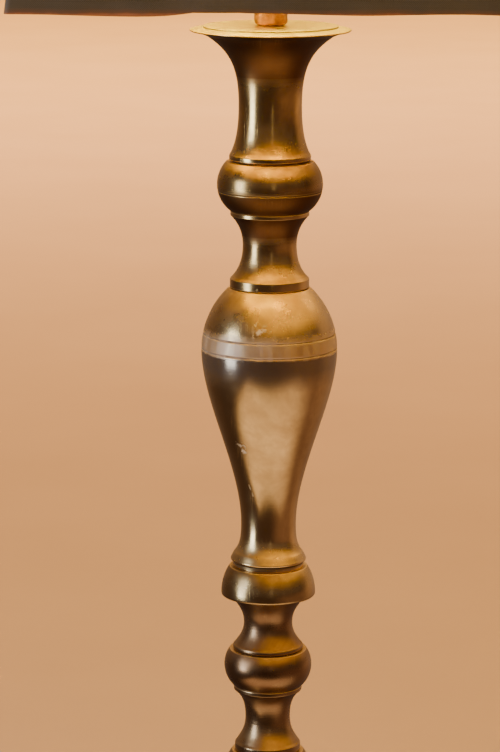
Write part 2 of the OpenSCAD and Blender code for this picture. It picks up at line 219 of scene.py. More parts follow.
class Finish:
    """A node material under construction: put() adds a node, with its settings and inputs."""

    def __init__(self, name):
        self.material = bpy.data.materials.new(name)
        self.material.use_nodes = True
        self.tree = self.material.node_tree
        self.tree.nodes.clear()
        self.shader = self.tree.nodes.new("ShaderNodeBsdfPrincipled")
        output = self.tree.nodes.new("ShaderNodeOutputMaterial")
        self.tree.links.new(self.shader.outputs[0], output.inputs[0])
        self.place = self.tree.nodes.new("ShaderNodeTexCoord").outputs["Object"]

    def feed(self, socket, value):
        if isinstance(value, bpy.types.NodeSocket):
            self.tree.links.new(value, socket)
        else:
            socket.default_value = value

    def put(self, kind, inputs, out=0, **settings):
        node = self.tree.nodes.new("ShaderNode" + kind)
        for key, value in settings.items():
            setattr(node, key, value)
        for key, value in inputs.items():
            self.feed(node.inputs[key], value)
        return node.outputs[out]

    def maths(self, operation, *values):
        return self.put("Math", dict(enumerate(values)), operation=operation)

    def scaled(self, scale, turn=(0, 0, 0), at=None):
        return self.put("Mapping", {"Vector": at or self.place, "Scale": scale, "Rotation": turn})

    def noise(self, scale, detail=3, rough=0.55, at=None, distort=0.0):
        inputs = {"Vector": at or self.place, "Scale": scale, "Detail": detail, "Roughness": rough,
                  "Distortion": distort}
        return self.put("TexNoise", inputs)

    def ramp(self, value, low, high):
        return self.put("MapRange", {"Value": value, "From Min": low, "From Max": high}, clamp=True)

    def mix(self, share, a, b):
        node = self.tree.nodes.new("ShaderNodeMix")
        node.data_type = "RGBA"
        self.feed(node.inputs["Factor"], share)
        for key, value in (("A", a), ("B", b)):
            socket = [s for s in node.inputs if s.name == key and s.type == "RGBA"][0]
            self.feed(socket, value if isinstance(value, bpy.types.NodeSocket) else (*value, 1))
        return [s for s in node.outputs if s.type == "RGBA"][0]

    def attribute(self, name):
        return self.put("Attribute", {}, out="Fac", attribute_name=name)

    def bump(self, height, strength, distance, under=None):
        inputs = {"Height": height, "Strength": strength, "Distance": distance}
        if under is not None:
            inputs["Normal"] = under
        return self.put("Bump", inputs)

    def set(self, **inputs):
        for key, value in inputs.items():
            self.feed(self.shader.inputs[key.replace("_", " ")], value)
        return self.material


def fine_scratches(f):
    """Where thin scratches of handling lie, in patches and in two directions, from 0 to 1."""
    shares = []
    for turn, seed in (((0.5, 0.2, 0.9), 0.0), ((1.4, 0.7, 2.2), 3.7)):
        at = f.put("Mapping", {"Vector": f.place, "Scale": (520, 6, 9), "Rotation": turn,
                               "Location": (seed, seed, seed)})
        from_line = f.maths("ABSOLUTE", f.maths("SUBTRACT", f.noise(1, 1, 0.4, at=at), 0.5))
        where = f.ramp(f.noise(42, 2, at=f.scaled((1, 1, 1), turn)), 0.55, 0.68)
        shares.append(f.maths("MULTIPLY", f.ramp(from_line, 0.004, 0.0), where))
    return f.maths("MAXIMUM", *shares)


def chalky_flecks(f, spot, size):
    """Where the lacquer is flaked off round a spot, from 0 to 1."""
    reach = f.put("VectorMath", {0: f.place, 1: spot}, out="Value", operation="DISTANCE")
    flakes = f.noise(1, 4, 0.75, at=f.scaled((230, 230, 190), (0.3, 0.9, 0.4)))
    return f.maths("MULTIPLY", f.ramp(reach, size, size * 0.35), f.ramp(flakes, 0.53, 0.6))


def long_scrape(f, start, end):
    """Where a broken, wandering scrape runs from one point to another, from 0 to 1."""
    start, line = Vector(start), Vector(end) - Vector(start)
    off = f.put("VectorMath", {0: f.place, 1: start}, operation="SUBTRACT")
    aside = f.put("VectorMath", {0: off, 1: line.normalized()}, operation="CROSS_PRODUCT")
    aside = f.put("VectorMath", {0: aside}, out="Value", operation="LENGTH")
    aside = f.maths("ADD", aside, f.maths("MULTIPLY_ADD", f.noise(130, 3), 0.003, -0.0015))
    along = f.put("VectorMath", {0: off, 1: line / line.length_squared}, out="Value",
                  operation="DOT_PRODUCT")
    inside = f.ramp(f.maths("ABSOLUTE", f.maths("SUBTRACT", along, 0.5)), 0.5, 0.44)
    cut = f.maths("MULTIPLY", f.ramp(aside, 0.5 * mm, 0.2 * mm), inside)
    return f.maths("MULTIPLY", cut, f.ramp(f.noise(420, 2), 0.4, 0.55))


def dulled_band(f, streaks, painted_dark_from, low, high):
    """The shares of grey between two heights and of the painted dark reflection under it."""
    height = f.put("SeparateXYZ", {0: f.place}).node.outputs[2]
    ragged = f.maths("MULTIPLY_ADD", f.noise(38, 4, 0.6), 3 * mm, height)
    grey = f.maths("MULTIPLY", f.ramp(ragged, low + 0.5 * mm, low + 2.5 * mm),
                   f.ramp(ragged, high + 7 * mm, high + 1 * mm))
    dark = f.maths("MULTIPLY", f.ramp(ragged, painted_dark_from, painted_dark_from + 14 * mm),
                   f.ramp(ragged, low + 2 * mm, low + 1 * mm))
    return f.maths("MULTIPLY", grey, f.ramp(streaks, -0.6, 0.5)), dark


def aged_brass(name, clean, brown, dirt_and_shade, gloss=0.2, tarnish=(0.42, 0.62), marks=(), scrapes=(),
               dulled=None, under=(0.4, -0.12, -0.5)):
    """Turned brass gone brown: lathe lines, patches of tarnish, dirt and painted shade in hollows, edges
    brightened by rubbing and as painted highlight.
    marks are (place, size) of chalky flecks, and scrapes are (from, to) of long thin scratches.
    dulled is a (dark from, low, high) band gone grey, with a painted dark reflection below it. under is how
    far the undersides are darkened as painted shade, with the slants where that starts and is whole."""
    f = Finish(name)
    patches = f.ramp(f.noise(16, 5, 0.62, distort=0.6), *tarnish)
    mottle = f.noise(95, 4, 0.6)
    lathe_lines = f.noise(1, 2, 0.5, at=f.scaled((9, 9, 900)))
    streaks = f.ramp(f.noise(1, 3, 0.6, at=f.scaled((150, 150, 10))), 0.45, 0.75)
    sunk = f.ramp(f.attribute("groove"), 0.03, 0.15)
    # Hollows and cut lines go near black: dirt and painted shade.
    hollow = f.ramp(f.attribute("grime_and_shade"), 0.015, 0.3)
    # Edges go brighter: rubbed wear and painted highlight.
    rubbed_and_highlit = f.ramp(f.attribute("edge"), 0.05, 0.32)
    slant = f.put("SeparateXYZ", {0: f.put("NewGeometry", {}, out="Normal")}).node.outputs[2]
    # Downward-facing slants go darker brown as painted shade.
    underside_shade = f.ramp(slant, under[1], under[2])
    dusty = f.maths("MULTIPLY", f.ramp(slant, 0.12, 0.75), f.ramp(mottle, 0.15, 0.75))
    scratch = fine_scratches(f)

    shaded = [c * w for c, w in zip(brown, (0.36, 0.24, 0.2))]
    worn_and_highlit = [min(1, c * 1.35) for c in clean]
    colour = f.mix(patches, clean, brown)
    for share, amount, tint in (
        (f.ramp(mottle, 0.42, 0.7), 0.45, brown), (streaks, 0.25, brown), (underside_shade, under[0], shaded),
        (hollow, 0.9, dirt_and_shade), (rubbed_and_highlit, 0.7, worn_and_highlit), (sunk, 0.85, dirt_and_shade),
        (scratch, 0.35, [min(1, c * 1.5) for c in clean]),
    ):
        colour = f.mix(f.maths("MULTIPLY", share, amount), colour, tint)
    hollow = f.maths("MAXIMUM", hollow, sunk)
    dull = f.maths("MULTIPLY_ADD", mottle, 0.16, f.maths("MULTIPLY_ADD", patches, 0.06, gloss - 0.08))
    for share, amount in ((hollow, 0.3), (underside_shade, under[0] * 0.2), (dusty, 0.32)):
        dull = f.maths("ADD", dull, f.maths("MULTIPLY", share, amount))
    metal = f.maths("SUBTRACT", 1.0, f.maths("MULTIPLY", hollow, 0.45))

    for spot, size in marks:
        chalk = chalky_flecks(f, spot, size)
        colour = f.mix(f.maths("MULTIPLY", chalk, 0.75), colour, (0.75, 0.68, 0.55))
        metal = f.maths("MULTIPLY", metal, f.maths("SUBTRACT", 1.0, f.maths("MULTIPLY", chalk, 0.8)))
        dull = f.maths("ADD", dull, f.maths("MULTIPLY", chalk, 0.3))
    for start, end in scrapes:
        cut = long_scrape(f, start, end)
        colour = f.mix(f.maths("MULTIPLY", cut, 0.7), colour, (0.85, 0.7, 0.48))
        dull = f.maths("MULTIPLY_ADD", cut, 0.25, dull)
        scratch = f.maths("MAXIMUM", scratch, cut)
    if dulled is not None:
        # Below the grey band the brass is painted near black, a painted dark reflection.
        grey, dark = dulled_band(f, streaks, *dulled)
        colour = f.mix(f.maths("MULTIPLY", dark, 0.75), colour, (0.13, 0.12, 0.125))
        colour = f.mix(f.maths("MULTIPLY", grey, 0.75), colour, (0.43, 0.36, 0.31))
        dull = f.maths("MULTIPLY_ADD", grey, 0.3, dull)
        earthy = f.maths("MULTIPLY_ADD", grey, 0.62, f.maths("MULTIPLY", dark, 0.2))
        metal = f.maths("SUBTRACT", metal, earthy)
    relief = f.bump(lathe_lines, 0.12, 0.1 * mm)
    relief = f.bump(f.maths("MULTIPLY", scratch, -1.0), 0.3, 0.1 * mm, relief)
    relief = f.bump(f.noise(210, 3, 0.6), 0.05, 0.3 * mm, relief)
    return f.set(Base_Color=colour, Metallic=metal, Roughness=dull, Normal=relief)


brass_clean, brass_brown = (0.58, 0.4, 0.17), (0.33, 0.205, 0.085)
brass_dirt_and_shade = (0.035, 0.022, 0.012)
foot_brass = aged_brass("foot_brass", brass_clean, brass_brown, brass_dirt_and_shade, 0.18)
foot = turned("foot", "foot_bell", "column", foot_brass, 160)
exit_low, exit_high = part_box("cord_bushing")
hole_at = (0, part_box("foot")[1].y, (exit_low.z + exit_high.z) / 2)
hole_radius, drill_length = 5.1 * mm, 40 * mm
cutter_mesh = bmesh.new()
bmesh.ops.create_cone(
    cutter_mesh, cap_ends=True, segments=48, radius1=hole_radius, radius2=hole_radius, depth=drill_length,
    matrix=Matrix.Translation(hole_at) @ Matrix.Rotation(math.pi / 2, 4, "X"),
)
cutter_data = bpy.data.meshes.new("cord_hole")
cutter_mesh.to_mesh(cutter_data)
cutter_mesh.free()
cutter = bpy.data.objects.new("cord_hole", cutter_data)
bpy.context.scene.collection.objects.link(cutter)
hole = foot.modifiers.new("cord hole", "BOOLEAN")
hole.object = cutter
hole.operation = "DIFFERENCE"
hole.solver = "EXACT"
drilled = foot.evaluated_get(bpy.context.evaluated_depsgraph_get())
bored = bpy.data.meshes.new_from_object(drilled)
foot.modifiers.clear()
seam = bmesh.new()
seam.from_mesh(bored)
bmesh.ops.remove_doubles(seam, verts=seam.verts, dist=0.01 * mm)
bmesh.ops.dissolve_degenerate(seam, dist=0.005 * mm, edges=seam.edges)
seam.to_mesh(bored)
seam.free()
foot.data = bored
foot.data.polygons.foreach_set("use_smooth", [True] * len(foot.data.polygons))
bpy.data.objects.remove(cutter)


# Weight, felt and the fixing under the foot: a rough cast-iron disc painted black,
# a green felt ring glued beneath, a washer and a nut on the tube, and the cord's bushing.
def plain_finish(name, colour, other, rough, scale=60, metal=0.0, pit=0.2, depth=0.3 * mm, **more):
    """A clouded, finely pitted surface of one make, between two close colours."""
    f = Finish(name)
    cloud = f.noise(scale, 5, 0.6)
    fine = f.noise(scale * 9, 3, 0.6)
    shade = f.mix(f.ramp(cloud, 0.35, 0.68), colour, other)
    dull = f.maths("MULTIPLY_ADD", fine, 0.24, rough - 0.12)
    return f.set(Base_Color=shade, Roughness=dull, Metallic=metal, Normal=f.bump(fine, pit, depth), **more)


def refinish(node, finish):
    """A CAD piece whose shape is right keeps it, and takes a finish."""
    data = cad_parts[node].data
    data.materials.clear()
    data.materials.append(finish)


refinish("ballast",
         plain_finish("painted_iron", (0.05, 0.05, 0.052), (0.1, 0.085, 0.07), 0.6, 90, 0.2, 0.5))
refinish("cord_bushing", plain_finish("bushing_plastic", (0.02, 0.02, 0.02), (0.035, 0.034, 0.03), 0.42))
zinc = plain_finish("zinc_plated_steel", (0.55, 0.55, 0.54), (0.42, 0.41, 0.39), 0.34, 120, 1.0, 0.15)
for node in ("bottom_washer", "bottom_nut", "threaded_rod", "holder_screws"):
    refinish(node, zinc)


def felt_edge(grid, azimuth):
    """The felt's outer edge, cut by hand with shears."""
    rim = np.hypot(grid[..., 0], grid[..., 1]) > 90 * mm
    ragged = np.array([noise.noise(Vector((math.cos(a) * 14, math.sin(a) * 14, 0))) for a in azimuth])
    swell = 1 + 0.0035 * ragged[None, :] * rim
    grid[..., 0] *= swell
    grid[..., 1] *= swell
    return grid


wool = Finish("green_felt")
fibres = wool.noise(900, 4, 0.7)
tufts = wool.noise(160, 4, 0.6, distort=1.5)
wool.set(
    Base_Color=wool.mix(wool.ramp(tufts, 0.35, 0.7), (0.025, 0.075, 0.04), (0.055, 0.12, 0.07)),
    Roughness=0.95, Sheen_Weight=0.5, Sheen_Roughness=0.6,
    Normal=wool.bump(wool.maths("ADD", fibres, tufts), 0.6, 0.0006),
)
felt_pad = turned("felt_pad", "felt_ring", "column", wool.material, 128, felt_edge)

# Column: knops and necks of cast and turned brass threaded on the tube, one on
# another. The knops are a little browner than the necks between them.
high_underside_shade = (0.95, -0.03, -0.24)
neck_brass = aged_brass("neck_brass", brass_clean, brass_brown, brass_dirt_and_shade, 0.17, under=high_underside_shade)
knop_brass = aged_brass("knop_brass", (0.52, 0.35, 0.14), (0.27, 0.165, 0.065), brass_dirt_and_shade, 0.21,
                        (0.38, 0.6), under=high_underside_shade)
low_brass = aged_brass("low_brass", (0.42, 0.3, 0.16), (0.22, 0.13, 0.07), brass_dirt_and_shade, 0.2,
                       (0.36, 0.58), under=(0.3, -0.2, -0.6))
turned("lower_knop", "lower_knop_turned", "column", low_brass)
turned("lower_neck", "lower_neck_turned", "column", low_brass)
turned("middle_knop", "middle_knop_turned", "column", low_brass)
turned("middle_neck", "middle_neck_turned", "column", low_brass)
turned("upper_neck", "upper_neck_turned", "column", neck_brass)
turned("upper_knop", "upper_knop_turned", "column", knop_brass)

# Bell collar: a thick turned brass ring with an undercut lower edge, threaded on
# the tube between the vase and the middle neck, and scraped round its rim.
def spot_on(node, azimuth, height):
    """The point on a turned piece's outside at degrees right of the front, height above its base."""
    low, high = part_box(node)
    outline = outline_of(node)
    z = low.z + height
    reach = max(a[0] + (b[0] - a[0]) * (z - a[1]) / (b[1] - a[1])
                for a, b in zip(outline, np.roll(outline, -1, 0))
                if min(a[1], b[1]) <= z <= max(a[1], b[1]) and a[1] != b[1])
    turn = math.radians(azimuth - 90)
    return reach * math.cos(turn), reach * math.sin(turn), z


bell_brass = aged_brass(
    "bell_brass", (0.5, 0.36, 0.17), (0.26, 0.17, 0.08), brass_dirt_and_shade, 0.19, (0.38, 0.6),
    scrapes=[(spot_on("bell_collar", a, h), spot_on("bell_collar", a + w, h + r)) for a, h, w, r in (
        (-62, 15, 34, 2.5), (-50, 12, 22, -1), (18, 8, 40, 1.5), (110, 11, 50, 1), (190, 6, 36, 3),
    ) for h, r in ((h * mm, r * mm),)],
)
turned("bell_collar", "bell_collar_turned", "column", bell_brass)

# Vase: the swelling main piece, cast hollow and turned, with two cut lines round
# its shoulder and a few chalky scrapes through the lacquer.
vase_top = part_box("vase")[1].z
vase_brass = aged_brass(
    "vase_brass", (0.62, 0.45, 0.22), (0.42, 0.28, 0.13), brass_dirt_and_shade, 0.16, (0.44, 0.7),
    marks=(
        (spot_on("vase", -9, 0.170), 0.008),
        (spot_on("vase", -36, 0.088), 0.006),
        (spot_on("vase", 150, 0.12), 0.009),
    ),
    scrapes=[(spot_on("vase", a, h), spot_on("vase", b, k)) for a, h, b, k in (
        (0, 0.170, 22, 0.186), (-6, 0.168, -16, 0.176), (-44, 0.092, -31, 0.084), (-36, 0.061, -27, 0.05),
        (-52, 0.158, -40, 0.152), (95, 0.14, 120, 0.128), (200, 0.172, 230, 0.166),
    )],
    # Between the cut lines the brass is dulled grey, and below them it is painted near black as a dark
    # reflection.
    dulled=(vase_top - 64 * mm, vase_top - 42.5 * mm, vase_top - 31 * mm), under=(0.0, -0.12, -0.5),
)
turned("vase", "vase_turned", "column", vase_brass, 160)

# Cup: a trumpet with a thin flat lip, and a brighter plate let into its top. The
# plate is brushed in rings round the nut that pulls the column together.
cup_brass = aged_brass("cup_brass", (0.6, 0.41, 0.16), (0.32, 0.2, 0.08), brass_dirt_and_shade, 0.17,
                       under=high_underside_shade)


def worn_lip(grid, azimuth):
    """Small dents round the thin lip, which is the cup's outermost few millimetres."""
    lip_from, dent_depth, nick_share = 50 * mm, 0.2 * mm, 0.004
    reach = np.hypot(grid[..., 0], grid[..., 1])
    lip = np.clip((reach - lip_from) / (4 * mm), 0, 1)
    dent = np.array([noise.noise(Vector((math.cos(a) * 5, math.sin(a) * 5, 2.0))) for a in azimuth])
    nick = np.array([noise.noise(Vector((math.cos(a) * 17, math.sin(a) * 17, 7.0))) for a in azimuth])
    inward = 1 - lip * np.maximum(nick, 0)[None, :] * nick_share
    grid[..., 0] *= inward
    grid[..., 1] *= inward
    grid[..., 2] += lip * dent[None, :] * dent_depth
    return grid


cup = turned("cup", "cup_turned", "column", cup_brass, 160, worn_lip)

plate = Finish("brushed_plate")
across = plate.put("SeparateXYZ", {0: plate.place})
x, y = across.node.outputs[0], across.node.outputs[1]
squares = plate.maths("ADD", plate.maths("MULTIPLY", x, x), plate.maths("MULTIPLY", y, y))
radius = plate.maths("SQRT", squares)
rings_at = plate.put("CombineXYZ", {0: plate.maths("MULTIPLY", radius, 1400.0),
                                    1: plate.maths("MULTIPLY", x, 20.0)})
rings = plate.noise(1, 2, 0.5, at=rings_at)
stain = plate.ramp(plate.noise(55, 5, 0.65, distort=0.8), 0.5, 0.72)
upright = plate.put("SeparateXYZ", {0: plate.put("NewGeometry", {}, out="Normal")}).node.outputs[2]
plate_dirt_and_shade = plate.maths("MULTIPLY", plate.ramp(plate.attribute("grime_and_shade"), 0.02, 0.3), 0.8)
# Faces that don't face up, such as the plate's rim, go dark as painted shade, as do its hollows, along with
# their dirt.
plate.set(
    Base_Color=plate.mix(
        plate.maths("MAXIMUM", plate_dirt_and_shade, plate.maths("MULTIPLY", plate.ramp(upright, 0.7, 0.3), 0.7)),
        plate.mix(stain, (0.86, 0.8, 0.16), (0.72, 0.58, 0.12)), brass_dirt_and_shade),
    Metallic=1.0,
    Roughness=plate.maths("MULTIPLY_ADD", plate.noise(120, 3), 0.25, 0.22),
    Normal=plate.bump(rings, 0.3, 0.15 * mm),
)
turned("cover_plate", "cover_plate_turned", "column", plate.material)
plate_reach, lip_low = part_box("cover_plate")[1].x - 1 * mm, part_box("cup")[1].z - 3 * mm
cup.data.materials.append(plate.material)
# The lip's upward faces take the plate's brighter yellow: painted light from the bulb above.
for face in cup.data.polygons:
    on_lip = math.hypot(face.center.x, face.center.y) > plate_reach and face.center.z > lip_low
    if on_lip and face.normal.z > 0.5:
        face.material_index = 1


# Lock nut: a round coppery nut, screwed on the tube over the plate, where it clamps
# the whole stack. Pliers have knocked and pitted it.
def knocked(grid, azimuth):
    """Lumps and hollows all over the nut's outside; its bore stays true."""
    bore_wall, lump_height, worn_down = 6.5 * mm, 0.55 * mm, 0.2 * mm
    for i in range(grid.shape[0]):
        for k in range(grid.shape[1]):
            p = Vector(grid[i, k])
            if math.hypot(p.x, p.y) > bore_wall:
                lump = noise.noise(p * 230) * lump_height - worn_down
                grid[i, k] = p + Vector((p.x, p.y, 0)).normalized() * lump
    return grid


copper = Finish("knocked_copper")
pits = copper.noise(420, 4, 0.65)
bloom = copper.noise(150, 4, 0.6)
copper.set(
    Base_Color=copper.mix(copper.ramp(bloom, 0.38, 0.66), (0.4, 0.2, 0.05), (0.17, 0.07, 0.02)),
    Metallic=0.85, Roughness=copper.maths("MULTIPLY_ADD", pits, 0.3, 0.25),
    Normal=copper.bump(copper.maths("ADD", pits, bloom), 0.5, 0.0004),
)
turned("lock_nut", "lock_nut_knocked", "column", copper.material, 96, knocked)

# Lampholder: a pressed brass cap and sleeve round a porcelain insert, with a plain
# screw shell and a sprung centre contact. The knurled ring clamps the shade's ring.
sheet_brass = aged_brass("pressed_brass", (0.62, 0.43, 0.18), (0.34, 0.21, 0.09), brass_dirt_and_shade, 0.22,
                         (0.5, 0.75))
turned("holder_cap", "holder_cap_pressed", "column", sheet_brass, 96)
turned("holder_body", "holder_sleeve", "column", sheet_brass, 96)
refinish("holder_insulator", plain_finish("glazed_porcelain", (0.86, 0.84, 0.78), (0.78, 0.75, 0.68), 0.2,
                                          40, 0.0, 0.05, Coat_Weight=0.5))
refinish("centre_contact", sheet_brass)
refinish("screw_shell", sheet_brass)
refinish("shade_nut", sheet_brass)


# Bulb: a faintly frosted globe, lit, on a rolled screw cap, with a black glass
# insulator, a domed solder tip, and a coiled wire on two posts inside.
warm_glass = Finish("lit_glass")
haze = warm_glass.noise(30, 3)
warm_glass.set(
    Base_Color=(1.0, 0.93, 0.8, 1), Roughness=warm_glass.maths("MULTIPLY_ADD", haze, 0.06, 0.12),
    Transmission_Weight=0.85, IOR=1.45, Emission_Color=(1.0, 0.62, 0.14, 1), Emission_Strength=2.2,
)
globe = turned("bulb_glass", "bulb_globe", "bulb", warm_glass.material, 96)
globe.visible_shadow = False
stem_glass = Finish("stem_glass")
stem_glass.set(
    Base_Color=(0.92, 0.96, 0.93, 1), Roughness=0.06, Transmission_Weight=1.0, IOR=1.48,
    Normal=stem_glass.bump(stem_glass.noise(180), 0.1, 0.2 * mm),
)
refinish("bulb_stem", stem_glass.material)
refinish("bulb_insulator",
         plain_finish("black_glass", (0.012, 0.012, 0.016), (0.03, 0.03, 0.035), 0.2, 60))
refinish("bulb_tip", plain_finish("solder", (0.6, 0.6, 0.59), (0.42, 0.42, 0.4), 0.35, 300, 1.0, 0.5))
refinish("filament_posts", zinc)
glow = Finish("glowing_wire")
glow.set(
    Base_Color=(0.9, 0.6, 0.3, 1), Emission_Color=(1.0, 0.62, 0.25, 1), Emission_Strength=60.0,
    Roughness=glow.maths("MULTIPLY_ADD", glow.noise(900), 0.2, 0.4),
)

cap_low, cap_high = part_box("bulb_cap")
cap_top, cap_bottom, crest = cap_high.z, cap_low.z, cap_high.x
thread_pitch, thread_depth, threads = 3.63 * mm, 0.55 * mm, 4.6
shoulder, neck_inside, floor_inside, sheet = 0.7 * mm, 12.3 * mm, 11.2 * mm, 1.2 * mm
levels = 76
rise = (cap_top - cap_bottom - 1.2 * mm) / levels
cap_outline = [(floor_inside, cap_bottom)]
for i in range(levels + 1):
    cap_outline.append((crest - thread_depth / 2, cap_bottom + shoulder + i * rise))
cap_outline += [(crest - 0.1 * mm, cap_top), (neck_inside, cap_top), (neck_inside, cap_bottom + sheet),
                (floor_inside, cap_bottom + sheet)]


def rolled_thread(grid, azimuth):
    """The round-crested thread rolled in the cap's wall, fading out at both ends."""
    z = grid[1:levels + 2, :, 2] - cap_bottom - shoulder
    fade = np.clip(np.minimum(z, threads * thread_pitch + 1 * mm - z) / (1.2 * mm), 0, 1)
    wave = np.cos(2 * math.pi * z / thread_pitch - azimuth[None, :]) * fade
    radius = crest - thread_depth / 2 + thread_depth / 2 * wave
    collar = np.maximum(radius, crest - 0.15 * mm * (1 + fade))
    radius = np.where(z > threads * thread_pitch, collar, radius)
    grid[1:levels + 2, :, 0] = radius * np.cos(azimuth)
    grid[1:levels + 2, :, 1] = radius * np.sin(azimuth)
    return grid


nickel = plain_finish("rolled_nickel", (0.66, 0.64, 0.6), (0.5, 0.47, 0.42), 0.3, 80, 1.0, 0.1)
cap = lathe("bulb_cap_rolled", np.array(cap_outline), 96, rolled_thread)
cap.data.materials.append(nickel)
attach(cap, "bulb")
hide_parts("bulb_cap")


def geometry_tree(name, sizes):
    """An empty Geometry Nodes tree with named inputs, its input node and its output node."""
    tree = bpy.data.node_groups.new(name, "GeometryNodeTree")
    tree.interface.new_socket("Geometry", in_out="INPUT", socket_type="NodeSocketGeometry")
    tree.interface.new_socket("Geometry", in_out="OUTPUT", socket_type="NodeSocketGeometry")
    for label, (kind, value) in sizes.items():
        socket = tree.interface.new_socket(label, in_out="INPUT", socket_type="NodeSocket" + kind)
        if value is not None:
            socket.default_value = value
    return tree, tree.nodes.new("NodeGroupInput"), tree.nodes.new("NodeGroupOutput")


def grown(name, tree, base, values):
    """The plain mesh that a Geometry Nodes tree makes from a base mesh with these inputs."""
    holder = bpy.data.objects.new(name, base)
    bpy.context.scene.collection.objects.link(holder)
    modifier = holder.modifiers.new(name, "NODES")
    modifier.node_group = tree
    for item in tree.interface.items_tree:
        if item.item_type == "SOCKET" and item.in_out == "INPUT" and item.name in values:
            modifier[item.identifier] = values[item.name]
    bpy.context.view_layer.update()
    made = bpy.data.meshes.new_from_object(holder.evaluated_get(bpy.context.evaluated_depsgraph_get()))
    holder.modifiers.clear()
    holder.data = made
    made.name = name
    return holder


def linked(tree, kind, inputs=(), **settings):
    """A node of a Geometry Nodes tree, with its inputs linked or set."""
    node = tree.nodes.new(kind)
    for key, value in settings.items():
        setattr(node, key, value)
    for key, value in dict(inputs).items():
        if isinstance(value, bpy.types.NodeSocket):
            tree.links.new(value, node.inputs[key])
        else:
            node.inputs[key].default_value = value
    return node


coil_tree, given, made = geometry_tree("wire_coil", {
    "Length": ("Float", 0.02), "Turns": ("Float", 26.0), "Coil Radius": ("Float", 0.0004),
    "Wire Radius": ("Float", 0.0001), "Height": ("Float", 0.7), "Material": ("Material", None),
})
spiral = linked(coil_tree, "GeometryNodeCurveSpiral", {
    "Resolution": 12, "Rotations": given.outputs["Turns"], "Start Radius": given.outputs["Coil Radius"],
    "End Radius": given.outputs["Coil Radius"], "Height": given.outputs["Length"]})
half = linked(coil_tree, "ShaderNodeMath", {0: given.outputs["Length"], 1: -0.5}, operation="MULTIPLY")
spot = linked(coil_tree, "ShaderNodeCombineXYZ", {0: half.outputs[0], 2: given.outputs["Height"]})
lying = linked(coil_tree, "GeometryNodeTransform", {
    "Geometry": spiral.outputs[0], "Translation": spot.outputs[0], "Rotation": (0, math.pi / 2, 0)})
section = linked(coil_tree, "GeometryNodeCurvePrimitiveCircle", {
    "Resolution": 6, "Radius": given.outputs["Wire Radius"]})
wire = linked(coil_tree, "GeometryNodeCurveToMesh", {
    "Curve": lying.outputs[0], "Profile Curve": section.outputs[0], "Fill Caps": True})
real = linked(coil_tree, "GeometryNodeRealizeInstances", {0: wire.outputs[0]})
coloured = linked(coil_tree, "GeometryNodeSetMaterial", {
    "Geometry": real.outputs[0], "Material": given.outputs["Material"]})
coil_tree.links.new(coloured.outputs[0], made.inputs[0])
wire_low, wire_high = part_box("filament")
coil = grown("filament_coil", coil_tree, bpy.data.meshes.new("coil"), {
    "Length": wire_high.x - wire_low.x, "Turns": 30.0, "Coil Radius": 0.45 * mm, "Wire Radius": 0.13 * mm,
    "Height": (wire_low.z + wire_high.z) / 2, "Material": glow.material})
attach(coil, "bulb")
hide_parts("filament")

# Shade frame: brown lacquered wire, a flat ring clamped on the lampholder, four
# arms out to the corner uprights, and a square of wire in each hem.
lacquer = plain_finish("brown_lacquer", (0.07, 0.045, 0.028), (0.12, 0.08, 0.045), 0.38, 70, 0.35, 0.15)
for node in ("spider_ring", "spider_arms", "bottom_frame", "uprights", "top_frame"):
    refinish(node, lacquer)


# Shade: dark woven cloth stretched round the square frame over a cream laminate,
# sagging a little between the wires, with a folded tape bound round each hem.
cover_low, cover_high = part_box("shade_cover")
hem_z, crown_z = cover_low.z, cover_high.z
half_low = cover_high.x
hem_low, hem_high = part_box("bottom_binding")
crown_low, crown_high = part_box("top_binding")
slope = (hem_high.x - crown_high.x) / (crown_low.z - hem_low.z)
corner_radius = 3.5 * mm


def square_path(per_side, per_corner):
    """Round the shade once: (direction out, share along the side, side, bend) of each post."""
    posts = []
    for side in range(4):
        turn = side * math.pi / 2 - math.pi / 2
        for i in range(per_side):
            posts.append((turn, -1 + 2 * i / (per_side - 1), side, 0.0))
        for i in range(1, per_corner):
            posts.append((turn, 1.0, side, i / per_corner * math.pi / 2))
    return posts


def hem_wave(side, along):
    """How far the hem dips or lifts along a side: the cloth was cut and stretched by hand."""
    x = along * half_low
    if side == 0:
        line = 0.9 * math.sin(x * 19 + 0.6) + 0.5 * math.sin(x * 47 + 2.2)
        line += 2.1 * math.exp(-((x + 0.040) / 0.017) ** 2) - 0.7 * math.exp(-((x - 0.06) / 0.05) ** 2)
    else:
        line = 0.9 * math.sin(x * 17 + side * 1.9) + 0.55 * math.sin(x * 41 + side * 2.7)
    return line * mm * (1 - along**8)


